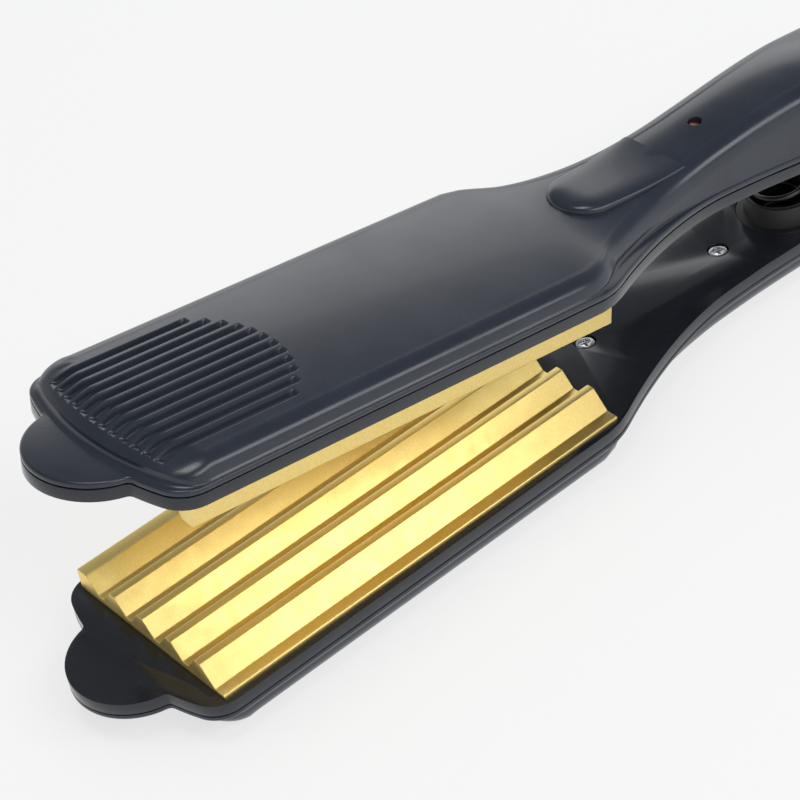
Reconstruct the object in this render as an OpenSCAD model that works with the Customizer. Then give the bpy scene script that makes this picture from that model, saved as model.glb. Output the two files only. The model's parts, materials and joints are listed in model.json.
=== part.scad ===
// Deep-wave hair iron: two hinged arms with meshing corrugated plates.
// Each arm is drawn in its own frame: x runs from the hinge pin to the tip,
// y across, z outward from the closed mid-plane between the arms.

/* [Wave plates] */
// Length of a wave plate
plate_length = 105; // [96:1:112]
// Width of a wave plate
plate_width = 47.6; // [46.8:0.2:48.6]
// Distance from one ridge to the next
wave_pitch = 9.4; // [9:0.1:9.6]
// Height of a ridge over the valley floor
wave_height = 3.5; // [2.6:0.1:3.8]
// Width of a ridge's flat crest
crest_flat = 1.73; // [1.4:0.05:2.2]
// Height of the valley floor over the arm's inner face
valley_rise = 1.55; // [1.2:0.05:2]
// Height of the low edge strip over the arm's inner face
strip_rise = 0.75; // [0.4:0.05:1.1]
// Depth of the plate's back under the inner face
plate_back = 2.5; // [2.3:0.05:2.6]
// Width of the retaining lip round the plate
plate_lip = 0.4; // [0.3:0.05:0.5]
// Thickness of the retaining lip
lip_thick = 1; // [0.8:0.05:1.2]
// Gap left between closed plates, crest to valley
wave_gap = 0.6; // [0.5:0.05:1]
// Number of ridges
ridges = 5; // [5:1:5]

/* [Arm outline] */
// Hinge pin to the tip end of the plates
plate_reach = 235; // [228:1:240]
// Width of the head over the rim
head_width = 51.2; // [50.6:0.2:52.6]
// Radius of the head's front edge in plan
front_radius = 62.6; // [56:0.2:70]
// Plate end to the top of the front edge arc
front_reach = 8.1; // [7.8:0.1:8.6]
// Radius of the head's front corners
corner_radius = 7; // [6.6:0.1:7.6]
// Radius of the thumb tab
tab_radius = 14.05; // [12.5:0.05:15]
// Plate end to the thumb tab's centre
tab_reach = 4.05; // [3:0.05:5]
// Start of the shoulder to the narrowest part of the neck
neck_x = 46; // [43:1:53]
// Width of the neck
neck_width = 24.2; // [23.4:0.2:26]
// Plates' rear end to the start of the shoulder in front of it
shoulder_x = 1; // [-2:1:4]
// Width of the grip
grip_width = 29; // [28:0.2:32]
// Hinge pin to the tail end
tail_length = 20; // [19:0.5:24]
// Radius of the tail's corners in plan
tail_radius = 6.5; // [5:0.5:8]

/* [Housings] */
// Thickness of the inner covers
cover_thick = 2.7; // [2.5:0.1:3]
// Parting groove between cover and housing
part_groove = 0.3; // [0.2:0.05:0.4]
// Thickness of the housing's rim
rim_thick = 1.2; // [1:0.1:1.5]
// Wall of the housings
wall = 1.8; // [1.6:0.1:2]
// Ledge between rim edge and housing wall
ledge = 0.5; // [0.4:0.05:0.8]
// Extra ledge over the shoulder
shoulder_ledge = 2.4; // [1.6:0.1:2.8]
// Height of the upper head over the inner face
head_height = 9; // [8.9:0.1:10]
// Height of the upper grip over the inner face
grip_height = 20.2; // [19.6:0.1:22]
// Height of the upper tail over the inner face
tail_height = 16; // [15.6:0.1:18]
// Height of the lower housing over the inner face
lower_height = 10; // [9.8:0.1:11]
// Crown of the upper housing across the arm
crown = 0.9; // [0.6:0.1:1.2]
// Angle between the arms when let go
open_angle = 9.8; // [7:0.1:11]

/* [Grip grooves and thumb stop] */
// Number of grip grooves
grooves = 12; // [8:1:12]
// Spacing of the grip grooves
groove_pitch = 3.1; // [2.8:0.1:3.3]
// Width of a grip groove
groove_width = 1.8; // [1.2:0.1:2]
// Depth of a grip groove
groove_depth = 0.8; // [0.4:0.1:1]
// Length of the middle grooves behind the plate end
groove_length = 37.4; // [30:0.2:42]
// Plates' rear end back to the front of the thumb stop
stop_x = 7; // [6:0.5:11]
// Width of the thumb stop
stop_width = 16; // [12:0.5:17]
// Height of the thumb stop over the inner face
stop_height = 11; // [10.6:0.1:11.4]

/* [Hinge and spring] */
// Diameter of the hinge pin
pin_d = 4; // [3.6:0.1:4.4]
// Radial clearance of the pin
pin_clear = 0.05; // [0.03:0.01:0.08]
// Radius of the hinge knuckles
knuckle_r = 6.2; // [6:0.05:6.25]
// Width of the middle knuckle
knuckle_width = 10.8; // [9.6:0.1:11]
// Width of an outer ear
ear_width = 5.2; // [4.6:0.1:5.4]
// Thickness of a hinge washer
washer_thick = 0.6; // [0.5:0.05:0.8]
// Distance of the spring from the hinge pin
spring_x = 55; // [50:1:58]
// Mean diameter of the spring
spring_d = 11.4; // [11:0.1:12]
// Wire of the spring
spring_wire = 1.3; // [1:0.1:1.4]
// Turns of the spring
spring_turns = 5; // [4:0.5:6]
// Diameter of the spring seats' flanges
seat_d = 20.6; // [19.6:0.2:21.4]
// Depth of the spring seats under the inner faces
seat_depth = 4; // [3.4:0.1:4.2]
// Diameter of the lower seat's collar
collar_d = 17; // [16.4:0.2:17.6]
// Height of the lower seat's collar over the inner face
collar_height = 5; // [3.5:0.1:5.4]

/* [Fittings] */
// Plates' rear end back to the front housing screw
screw_front_x = 13.5; // [12:0.5:15]
// Spring to the rear housing screw in front of it
screw_rear_x = 20.5; // [18:0.5:22]
// Diameter of the housing screws
screw_d = 2.2; // [2:0.1:2.6]
// Diameter of the screw heads
screw_head_d = 4.2; // [3.8:0.1:4.5]
// Diameter of the screw holes' counterbore
screw_sink_d = 5; // [4.9:0.1:5.4]
// Length of a heater
heater_length = 80; // [60:1:88]
// Width of a heater
heater_width = 20; // [16:0.5:21]
// Thickness of a heater
heater_thick = 2.6; // [2.2:0.1:2.7]
// Diameter of a heater lead
lead_d = 1.5; // [1.2:0.1:1.7]
// Rear housing screw to the indicator in front of it
lamp_x = 7.5; // [5.5:0.5:10.5]
// Diameter of the indicator window
lamp_d = 3; // [2.6:0.1:3.4]
// Hinge pin to the middle of the switch
switch_x = 25; // [24:0.5:30]
// Length of the switch frame
switch_length = 26; // [24:0.5:27]
// Width of the switch frame
switch_width = 14; // [12.5:0.5:14.5]
// Travel of the rocker
rocker_travel = 16; // [10:1:18]
// Bore of the cord bush
cord_d = 5.8; // [5:0.1:6]

/* [Hidden] */
$fn = 48;
black = [0.13, 0.14, 0.17];
gold = [0.93, 0.72, 0.27];
steel = [0.78, 0.78, 0.76];

// Half the gap between the closed inner faces, from the meshing of the waves.
half_gap = valley_rise + (wave_height + wave_gap) / 2;
slope_run = wave_pitch / 2 - crest_flat;
plate_x = plate_reach - plate_length;
shoulder_at = plate_x + shoulder_x;
neck_at = shoulder_at - neck_x;
stop_at = plate_x - stop_x;
front_screw = plate_x - screw_front_x;
rear_screw = spring_x + screw_rear_x;
lamp_at = rear_screw + lamp_x;
seat = 0.05;
fit = 0.15;
rim_z = cover_thick + part_groove;
rim_top = rim_z + rim_thick;
rim_half = head_width / 2;

// Ramp with level ends from 0 to 1.
function ease(t) = let (u = min(max(t, 0), 1)) u * u * (3 - 2 * u);
// Smaller of two values, blended where they meet.
function soft_min(a, b, k) = min(a, b) - pow(max(k - abs(a - b), 0), 2) / (4 * k);

// Half width of the rim at x, from the head's side to the tail.
shoulder_span = shoulder_at - neck_at;
function shoulder_half(x) = neck_width / 2
    + (rim_half - neck_width / 2 + 0.1) * pow(max(x - neck_at, 0) / shoulder_span, 1.7);
function grip_half(x) = (grip_width - neck_width) / 2
    * ease((neck_at - 5 - x) / (neck_at - 5 - switch_x));
function tail_cut(x) = let (u = tail_radius - tail_length - x)
    u <= 0 ? 0 : tail_radius - sqrt(max(tail_radius * tail_radius - u * u, 0));
function rim_at(x) = soft_min(rim_half, shoulder_half(x) + grip_half(x), 2) - tail_cut(x);

// Front of the outline: a wide arc, rounded corners and the thumb tab's arc.
front_x = plate_reach + front_reach;
front_c = front_x - front_radius;
corner_y = rim_half - corner_radius;
corner_x = front_c + sqrt(pow(front_radius - corner_radius, 2) - corner_y * corner_y);
corner_turn = atan2(corner_y, corner_x - front_c);
tab_c = plate_reach + tab_reach;
notch_r = 1.4;
// Centre of the hollow fillet between tab and front edge.
notch_a = tab_radius + notch_r;
notch_b = front_radius + notch_r;
notch_d = tab_c - front_c;
notch_x = front_c + (notch_b * notch_b - notch_a * notch_a + notch_d * notch_d) / (2 * notch_d);
notch_y = sqrt(notch_b * notch_b - pow(notch_x - front_c, 2));

function arc(cx, cy, r, a, b, n) = [for (i = [0:n]) let (t = a + (b - a) * i / n)
    [cx + r * cos(t), cy + r * sin(t)]];
side_x = [for (i = [0:3]) corner_x - (corner_x - shoulder_at - 6) * i / 3];
bend_x = [for (i = [0:14]) shoulder_at + 3 - (shoulder_at + 3 - neck_at) * i / 14];
grip_x = [for (i = [1:8]) neck_at - (neck_at + tail_length - tail_radius) * i / 8];
tail_x = [for (a = [30:20:90]) tail_radius - tail_length - tail_radius * sin(a)];
track_x = concat([for (i = [1:3]) side_x[i]], bend_x, grip_x, tail_x);

side_edge = concat(
    arc(notch_x, notch_y, notch_r, 180 + atan2(notch_y, notch_x - tab_c),
        180 + atan2(notch_y, notch_x - front_c), 5),
    arc(front_c, 0, front_radius, atan2(notch_y, notch_x - front_c) + 1.5, corner_turn, 5),
    arc(corner_x, corner_y, corner_radius, corner_turn, 90, 7),
    [for (x = track_x) [x, rim_at(x)]]);
tab_edge = arc(tab_c, 0, tab_radius, -atan2(notch_y, notch_x - tab_c),
    atan2(notch_y, notch_x - tab_c), 28);
outline = concat(tab_edge, side_edge,
    [for (i = [len(side_edge) - 1:-1:0]) [side_edge[i][0], -side_edge[i][1]]]);

// Placing: the lower arm lies flat, the upper one is turned open about the pin.
rise = half_gap + lower_height;
bush_z = rim_z + 5.2;
bush_out = 3.2;
rear_x = -(tail_length + bush_out) * cos(open_angle)
    - (half_gap + bush_z + 5.4) * sin(open_angle);
mid_x = (tab_c + tab_radius + rear_x) / 2;
module lower() translate([-mid_x, 0, rise]) rotate([180, 0, 0]) children();
module upper() translate([-mid_x, 0, rise]) rotate([0, -open_angle, 0]) children();
// Slab of a 2D plan between two heights over the inner face.
module slab(a, b) translate([0, 0, half_gap + a]) linear_extrude(b - a) children();
module rod(x, y, a, b, d) translate([x, y, half_gap + a]) cylinder(d = d, h = b - a);
module block(x0, x1, y0, y1, a, b)
    translate([x0, y0, half_gap + a]) cube([x1 - x0, y1 - y0, b - a]);
// Bar along y between two values of y, at height z from the closed mid-plane.
module cross_bar(x, z, y0, y1, r)
    translate([x, y0, z]) rotate([-90, 0, 0]) cylinder(r = r, h = y1 - y0);
module both_sides() {
    children();
    mirror([0, 1, 0]) children();
}

// ---- housing surface ----
// Each half station runs from the foot of the wall over its rounded top edge
// to the spine; in front the stations fan out round the head's front edge.
fan = 7;
bend = 5;
front_fillet = 1.6;
front_rise = 0.3;
front_ledge = 2.2;
front_round = 7.2;
tail_round = 1.5;
side_lean = 0.3;
spine_x = plate_reach - 3.5;

grip_top_x = switch_x + switch_length / 2 + 7;
function body_height(x, up) = up
    ? head_height + (grip_height - head_height)
        * ease((shoulder_at - 4 - x) / (shoulder_at - 4 - grip_top_x))
        - (grip_height - tail_height) * ease((10 - x) / (tail_length + 10))
    : lower_height;
function end_drop(x) = let (u = max(tail_round - x - tail_length, 0))
    tail_round - sqrt(max(tail_round * tail_round - u * u, 0));
function ledge_at(x) = ledge + shoulder_ledge
    * ease((shoulder_at + 4 - x) / 12) * ease((x - neck_at + 1) / 40);
function wall_at(x) = rim_at(x) - ledge_at(x);

// Foot points of the wall, inset by t, from the middle of the front to the tail.
base_y = rim_half - ledge;
foot_r = corner_radius - ledge;
foot_c = front_c;
foot_front = front_radius - front_ledge;
foot_cx = foot_c + sqrt(pow(foot_front - foot_r, 2) - corner_y * corner_y);
foot_turn = atan2(corner_y, foot_cx - foot_c);
function foot(t, up, tail) = concat(
    [for (i = [0:fan - 1]) let (a = foot_turn * i / fan)
        [foot_c + (foot_front - t) * cos(a), (foot_front - t) * sin(a),
         spine_x - 4 * i / fan, 1 - 0.1 * i / fan]],
    [for (i = [0:bend]) let (a = foot_turn + (90 - foot_turn) * i / bend)
        [foot_cx + (foot_r - t) * cos(a), corner_y + (foot_r - t) * sin(a),
         spine_x - 4 - 10 * i / bend, (1 - i / bend) * 0.9]],
    [for (x = track_x) if (x > tail && x < foot_cx - 8) [x, wall_at(x) - t, x, 0]],
    [[tail, wall_at(tail) - t, tail, 0]]);

// One half station: q = [foot x, foot y, spine x, share of the front's shape].
function station(q, t, up, z0, edge_y, edge_z) = let (
    f = q[3],
    reach = sqrt(pow(q[0] - q[2], 2) + q[1] * q[1]),
    dx = (q[2] - q[0]) / reach,
    dy = -q[1] / reach,
    top = body_height(min(q[0], q[2]), up) - t - (t > 0 ? 0 : end_drop(q[0])),
    fil = t > 0 ? 0 : front_fillet * f + 0.2 * (1 - f),
    lean = side_lean * (1 - f),
    ry = min(front_round * f + edge_y * (1 - f), reach - lean - 0.4),
    drop = (up ? crown : 0.02) * (f > 0 ? pow(min(1, q[1] / (rim_half - 5)), 2)
        : min(1, reach / rim_half + 0.3)),
    rz = min(edge_z - t / 2, top - drop - rim_top - (t > 0 ? 0.5 : fil + front_rise)),
    shape = concat(
        t > 0 ? [[0, z0], [0.01, rim_top]] : [[-fil, z0], [-0.35 * fil, rim_top + 0.25 * fil],
            [0, rim_top + fil]],
        [for (a = [0:(t > 0 ? 30 : 18):90]) [lean + ry * (1 - cos(a)), top - drop - rz * (1 - sin(a))]],
        [for (i = [1:(t > 0 ? 2 : 3)]) let (u = i / (t > 0 ? 2 : 3))
            [lean + ry + (reach - lean - ry) * u, top - drop * (1 - u) * (1 - u)]]))
    [for (p = shape) [q[0] + dx * p[0], q[1] + dy * p[0], half_gap + p[1]]];

// Closed solid of both halves of a row of stations.
module body_solid(rows) {
    n = len(rows);
    k = len(rows[0]);
    left = n * k;
    function right_id(i, j) = i * k + j;
    function left_id(i, j) = i == 0 || j == k - 1 ? i * k + j : left + i * k + j;
    polyhedron(
        points = concat([for (r = rows) for (p = r) p],
            [for (r = rows) for (p = r) [p[0], -p[1], p[2]]]),
        faces = concat(
            [for (i = [0:n - 2]) for (j = [0:k - 2])
                [right_id(i, j), right_id(i + 1, j + 1), right_id(i + 1, j)]],
            [for (i = [0:n - 2]) for (j = [0:k - 2]) if (i > 0 || j < k - 2)
                [right_id(i, j), right_id(i, j + 1), right_id(i + 1, j + 1)]],
            [for (i = [0:n - 2]) for (j = [0:k - 2])
                [left_id(i, j), left_id(i + 1, j), left_id(i + 1, j + 1)]],
            [for (i = [0:n - 2]) for (j = [0:k - 2]) if (i > 0 || j < k - 2)
                [left_id(i, j), left_id(i + 1, j + 1), left_id(i, j + 1)]],
            [[right_id(0, 0), right_id(1, 0), left_id(1, 0)]],
            [for (i = [1:n - 2]) [right_id(i, 0), right_id(i + 1, 0), left_id(i + 1, 0)]],
            [for (i = [1:n - 2]) [right_id(i, 0), left_id(i + 1, 0), left_id(i, 0)]],
            [[right_id(n - 1, k - 1), left_id(n - 1, k - 2), right_id(n - 1, k - 2)]],
            [for (j = [0:k - 3]) [left_id(n - 1, j), right_id(n - 1, j), right_id(n - 1, j + 1)]],
            [for (j = [0:k - 3])
                [left_id(n - 1, j), right_id(n - 1, j + 1), left_id(n - 1, j + 1)]]),
        convexity = 6);
}
function edge_y_at(x, up) = up ? 4.4 + 1.6 * ease((shoulder_at - x) / 35) : 5;
function edge_z_at(x, up) = up ? 3.6 + 2.4 * ease((shoulder_at - x) / 35) : 5;
function rows(t, up, z0, tail) = [for (q = foot(t, up, tail))
    station(q, t, up, z0, edge_y_at(q[0], up), edge_z_at(q[0], up))];

module outer_body(up) body_solid(rows(0, up, rim_z + 0.8, -tail_length));
module cavity(up) body_solid(rows(wall, up, 1, wall - tail_length));

// Closed solid through rings with the same number of points.
module ring_solid(rings) {
    n = len(rings);
    k = len(rings[0]);
    polyhedron(
        points = [for (r = rings) for (p = r) p],
        faces = concat(
            [for (i = [0:n - 2]) for (j = [0:k - 1])
                [i * k + j, (i + 1) * k + (j + 1) % k, i * k + (j + 1) % k]],
            [for (i = [0:n - 2]) for (j = [0:k - 1])
                [i * k + j, (i + 1) * k + j, (i + 1) * k + (j + 1) % k]],
            [[for (j = [0:k - 1]) j]],
            [[for (j = [k - 1:-1:0]) (n - 1) * k + j]]));
}

// Thumb stop: a rounded nose whose top runs back into the grip.
stop_fall = 7.5;
stop_edge = 1.6;
stop_back = stop_at - stop_fall - 20.5;
function stop_ring(inset, z) = concat(
    [for (a = [-90:15:90]) [stop_at - stop_fall + (stop_fall - inset) * cos(a),
        (stop_width / 2 - inset) * sin(a)]],
    [[stop_back, stop_width / 2 + 1 - inset], [stop_back, inset - 1 - stop_width / 2]]);
function stop_layer(inset, z) = [for (p = stop_ring(inset, z))
    [p[0], p[1], half_gap + z + (stop_at - p[0]) * 0.02]];
module thumb_stop() ring_solid(concat(
    [stop_layer(0, head_height - 0.9), stop_layer(0.3, stop_height - stop_edge)],
    [for (a = [22.5:22.5:90])
        stop_layer(0.3 + stop_edge * (1 - cos(a)), stop_height - stop_edge * (1 - sin(a)))]));

// Grip groove: its floor follows the head's top and runs out down the front.
groove_y = [for (i = [0:grooves - 1]) (i - (grooves - 1) / 2) * groove_pitch];
groove_half = (grooves - 1) * groove_pitch / 2;
groove_arc = 23.3;
module groove(y) {
    top = half_gap + head_height - crown * pow(y / (rim_half - 5), 2);
    back = plate_reach - groove_length + groove_arc - sqrt(groove_arc * groove_arc - y * y);
    face = foot_c + sqrt(foot_front * foot_front - y * y) - front_round;
    edge = top - half_gap - rim_top - front_fillet - front_rise;
    last = 56 - 21 * pow(y / 17, 2);
    floor_pts = [for (i = [0:6]) let (a = 90 - (90 - last) * i / 6,
        w = groove_depth * (1 - pow(i / 6, 3)))
        [face + (front_round - w) * cos(a), top - edge + (edge - w) * sin(a)]];
    translate([0, y + groove_width / 2, 0]) rotate([90, 0, 0]) linear_extrude(groove_width)
        polygon(concat([[back, top + 0.2], [back + 1.3, top - groove_depth]], floor_pts,
            [[floor_pts[6][0] + 2, floor_pts[6][1] + 1], [face + 6, top + 2], [back, top + 2]]));
}

// ---- wave plate ----
// Points of a path with each inner corner rounded to radius r.
function unit(v) = v / norm(v);
function rounded(p, r) = [for (i = [0:len(p) - 1])
    if (i == 0 || i == len(p) - 1) p[i]
    else let (a = unit(p[i - 1] - p[i]), b = unit(p[i + 1] - p[i]),
        half = acos(a * b) / 2, cut = r / tan(half), m = unit(a + b))
        each [p[i] + a * cut, p[i] + m * (r / sin(half) - r), p[i] + b * cut]];
crest_o = -(valley_rise + wave_height);
half_plate = plate_width / 2;
function ridge_y(k) = slope_run / 2 + ((ridges + 1) / 2 - k) * wave_pitch;
strip_run = slope_run * (valley_rise + wave_height - strip_rise) / wave_height;
sheet_thick = 0.3;
clip_thick = 0.5;
rail_y = heater_width / 2 + 2;
rail_top = plate_back + heater_thick + sheet_thick + clip_thick + seat + 0.55;
wave_line = concat(
    [[half_plate, plate_back - lip_thick], [half_plate, crest_o], [ridge_y(1), crest_o]],
    [for (k = [1:ridges - 1]) each [[ridge_y(k) - slope_run, -valley_rise],
        [ridge_y(k) - slope_run - crest_flat, -valley_rise],
        [ridge_y(k + 1) + crest_flat, crest_o], [ridge_y(k + 1), crest_o]]],
    [[ridge_y(ridges) - strip_run, -strip_rise], [-half_plate, -strip_rise],
        [-half_plate, plate_back - lip_thick]]);
function rail(s) = [[s * (rail_y + 1.2), plate_back], [s * (rail_y + 1.2), rail_top],
    [s * (rail_y - 0.9), rail_top], [s * (rail_y - 0.9), rail_top - 0.5],
    [s * rail_y, rail_top - 0.5], [s * rail_y, plate_back]];
function turned(p) = [for (i = [len(p) - 1:-1:0]) p[i]];
lip_half = half_plate + plate_lip;
module along_arm(x0, x1) translate([x0, 0, half_gap]) rotate([90, 0, 90])
    linear_extrude(x1 - x0) children();
module wave_plate() color(gold) difference() {
    along_arm(plate_x, plate_reach) polygon(concat(rounded(wave_line, 0.35),
        [[-lip_half, plate_back - lip_thick], [-lip_half, plate_back]],
        rail(-1), turned(rail(1)),
        [[lip_half, plate_back], [lip_half, plate_back - lip_thick]]));
    block(plate_reach - 6, plate_reach + 1, -rail_y - 2, rail_y + 2, plate_back, rail_top + 1);
}
module lower_plate() lower() wave_plate();
module upper_plate() upper() wave_plate();

// ---- heating ----
heat_x = (plate_x + plate_reach) / 2;
heat_x0 = heat_x - heater_length / 2;
sheet_z = plate_back + heater_thick;
tab_out = 1.6;
module heater() color([0.72, 0.73, 0.75]) {
    block(heat_x0, heat_x0 + heater_length, -heater_width / 2, heater_width / 2,
        plate_back, sheet_z);
    both_sides() block(heat_x0 - tab_out, heat_x0 + 1, tab_y - 1.6, tab_y + 1.6,
        plate_back + 0.3, sheet_z - 0.2);
}
module sheet() color([0.86, 0.78, 0.55])
    block(heat_x0 - 1.5, heat_x0 + heater_length + 1.5, 0.6 - heater_width / 2 - 1,
        heater_width / 2 + 0.4, sheet_z, sheet_z + sheet_thick);
// Sprung strip with pressed feet, held under the rails' hooks.
module heat_clip() color(steel) difference() {
    block(heat_x0 + 4, heat_x0 + heater_length - 4, 0.1 - rail_y, rail_y - 0.1,
        sheet_z + sheet_thick, sheet_z + sheet_thick + clip_thick);
    for (i = [-1:1]) block(heat_x + i * 22 - 7, heat_x + i * 22 + 7, -5, 5,
        sheet_z, sheet_z + 4);
}
fuse_d = 3.4;
fuse_y = 9;
fuse_z = cover_thick + 0.6 + fuse_d / 2;
fuse_x0 = plate_x - 12;
module fuse() color([0.9, 0.88, 0.82]) translate([fuse_x0, fuse_y, half_gap + fuse_z])
    rotate([0, 90, 0]) {
        cylinder(d = fuse_d, h = 9);
        translate([0, 0, -2.5]) cylinder(d = 0.9, h = 14);
    }
module fuse_saddles() difference() {
    union() for (x = [fuse_x0 + 2, fuse_x0 + 6])
        block(x, x + 1.2, fuse_y - 2.6, fuse_y + 2.6, cover_thick - 0.2, fuse_z);
    translate([fuse_x0, fuse_y, half_gap + fuse_z]) rotate([0, 90, 0])
        cylinder(d = fuse_d + 2 * seat, h = 9);
}
// Round lead along points given as x, y and height over the inner face.
function lead_dir(p, i) = unit(p[min(i + 1, len(p) - 1)] - p[max(i - 1, 0)]);
function lead_ring(p, i) = let (
    t = lead_dir(p, i), side = unit(cross(t, [0, 0, 1])), over = cross(side, t))
    [for (a = [0:45:315]) p[i] + [0, 0, half_gap]
        + lead_d / 2 * (cos(a) * side + sin(a) * over)];
module lead(p) ring_solid([for (i = [0:len(p) - 1]) lead_ring(p, i)]);
boss_r = screw_d / 2 + 2.3;
lead_space = 2;
lead_y = boss_r + lead_d + lead_space / 2;
tab_y = heater_width / 4;
lead_z = cover_thick + lead_d / 2 + 0.5;
module leads(last) color([0.85, 0.84, 0.8]) for (s = [-1, 1]) lead([
    [heat_x0 - tab_out, tab_y * s, plate_back + 1.4], [plate_x + 4, tab_y * s, plate_back + 1.6],
    [plate_x - 4, (tab_y + 0.4) * s, lead_z + 0.3],
    [(front_screw + rear_screw) / 2, lead_y * s, lead_z], [rear_screw - 4, lead_y * s, lead_z],
    [spring_x + collar_d / 2 + lead_space, lead_y * s, seat_depth + 2.6],
    [spring_x - collar_d / 2 - lead_space, lead_y * s, seat_depth + 2.6],
    [spring_x - seat_d / 2 - 2 * lead_space, lead_y * s, lead_z + lead_space],
    [last, lead_y * s, lead_z + 0.6]]);
module lower_heater() lower() heater();
module upper_heater() upper() heater();
module lower_insulator() lower() sheet();
module upper_insulator() upper() sheet();
module lower_heater_clip() lower() heat_clip();
module upper_heater_clip() upper() heat_clip();
module lower_fuse() lower() fuse();
module upper_fuse() upper() fuse();
module lower_leads() lower() leads(2 * knuckle_r + lead_space);
module upper_leads() upper() leads(switch_x + switch_half);

// ---- housing screws ----
screw_sink = 1.7;
screw_length = 6.2;
screw_xs = [front_screw, rear_screw];
module cross_screw(z, head, length, d) difference() {
    union() {
        translate([0, 0, z]) cylinder(d = head, h = 1.4);
        translate([0, 0, z + 1.4]) cylinder(d = d, h = length);
    }
    for (a = [0, 90]) rotate([0, 0, a + 20])
        translate([-head * 0.28, -0.3, z - 0.1]) cube([head * 0.56, 0.6, 0.8]);
}
module screws() color(steel) for (x = screw_xs)
    translate([x, 0, half_gap]) cross_screw(screw_sink - 1.4, screw_head_d, screw_length, screw_d);
module lower_screws() lower() screws();
module upper_screws() upper() screws();

// ---- housings ----
module housing(up) difference() {
    union() {
        difference() {
            union() {
                slab(rim_z, rim_top) polygon(outline);
                outer_body(up);
                if (up) thumb_stop();
            }
            cavity(up);
            if (up) for (y = groove_y) groove(y);
        }
        for (x = screw_xs)
            rod(x, 0, cover_thick, body_height(x, up) - wall / 2, 2 * boss_r);
        both_sides() for (x = [plate_x + 14, plate_reach - 14])
            rod(x, 18.5, plate_back, body_height(plate_reach, up) - wall + 0.3, 4);
    }
    for (x = screw_xs) rod(x, 0, 0, screw_sink + screw_length + 0.3, screw_d + 2 * seat);
    if (up) {
        rod(lamp_at, 0, lens_z, grip_height, lamp_d + 2 * seat);
        block(switch_x - switch_length / 2 - fit, switch_x + switch_length / 2 + fit,
            -switch_width / 2 - fit, switch_width / 2 + fit, switch_seat, grip_height + 3);
        block(switch_x - switch_half - fit, switch_x + switch_half + fit,
            -switch_side - fit, switch_side + fit, switch_seat - 4, grip_height);
        along_bush(-tail_length - 1, wall - tail_length + 1) circle(r = bush_neck + seat);
    }
}
module lower_shell() color(black) lower() housing(false);
module upper_shell() color(black) upper() housing(true);

// ---- inner covers ----
ear_in = knuckle_width / 2 + washer_thick + 0.2;
ear_out = ear_in + ear_width;
hub_r = pin_d / 2 + pin_clear;
module knuckle(y0, y1) translate([0, y1, 0]) rotate([90, 0, 0]) linear_extrude(y1 - y0)
    union() {
        circle(r = knuckle_r);
        translate([-knuckle_r, 0]) square([2 * knuckle_r, half_gap + cover_thick]);
    }
lip_x = [for (i = [0:8]) rear_screw - 8 - (rear_screw - 18) * i / 8];
lip_in = wall + side_lean + 2 * fit;
module lips() both_sides() slab(cover_thick - 0.2, rim_top + 0.8) polygon(concat(
    [for (x = lip_x) [x, wall_at(x) - lip_in]],
    [for (i = [len(lip_x) - 1:-1:0]) [lip_x[i], wall_at(lip_x[i]) - lip_in - 1.2]]));
module inner_cover() {
    difference() {
        slab(0, cover_thick) polygon(outline);
        block(plate_x - fit, plate_reach + fit, -half_plate - fit, half_plate + fit,
            -1, cover_thick + 1);
        block(plate_x - plate_lip - fit, plate_reach + plate_lip + fit, -lip_half - fit,
            lip_half + fit, plate_back - lip_thick - seat, cover_thick + 1);
        for (x = screw_xs) {
            rod(x, 0, -1, screw_sink, screw_sink_d);
            rod(x, 0, 0, cover_thick + 1, screw_d + 0.4);
        }
        rod(spring_x, 0, -1, seat_rim, seat_d + 2 * seat);
        rod(spring_x, 0, 0, cover_thick + 1, collar_d + 2 * seat);
    }
    lips();
    fuse_saddles();
    both_sides() block(plate_reach + 0.7, plate_reach + 1.5, 3, 9, cover_thick - 0.2, rim_top + 0.5);
}
function stop_z(x) = 0.3 - (half_gap + x * sin(open_angle)) / cos(open_angle);
module lower_cover() color(black) lower() difference() {
    union() {
        difference() {
            inner_cover();
            cross_bar(0, 0, -ear_in, ear_in, knuckle_r + 0.3);
        }
        both_sides() knuckle(ear_in, ear_out);
        // Open stop behind the hinge, its top laid along the other arm's face.
        translate([0, 6, 0]) rotate([90, 0, 0]) linear_extrude(12) polygon([
            [3.5 - tail_length, half_gap + 0.2], [3.5 - tail_length, stop_z(3.5 - tail_length)],
            [1 - tail_length, stop_z(1 - tail_length)], [1 - tail_length, half_gap + 0.2]]);
        rod(tab_c + 3.75, corner_y - 6.4, -0.3, 0.2, 1.2);
    }
    cross_bar(0, 0, -ear_out - 1, ear_out + 1, hub_r);
}
module upper_cover() color(black) upper() difference() {
    union() {
        difference() {
            inner_cover();
            both_sides() cross_bar(0, 0, knuckle_width / 2, ear_out + 0.3, knuckle_r + 0.3);
        }
        knuckle(-knuckle_width / 2, knuckle_width / 2);
        for (x = [lamp_at - 1, lamp_at + board_run - 2]) rod(x, 0, cover_thick - 0.2, board_z, 3);
        clamp_saddle();
    }
    cross_bar(0, 0, -ear_out - 1, ear_out + 1, hub_r);
}

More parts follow.
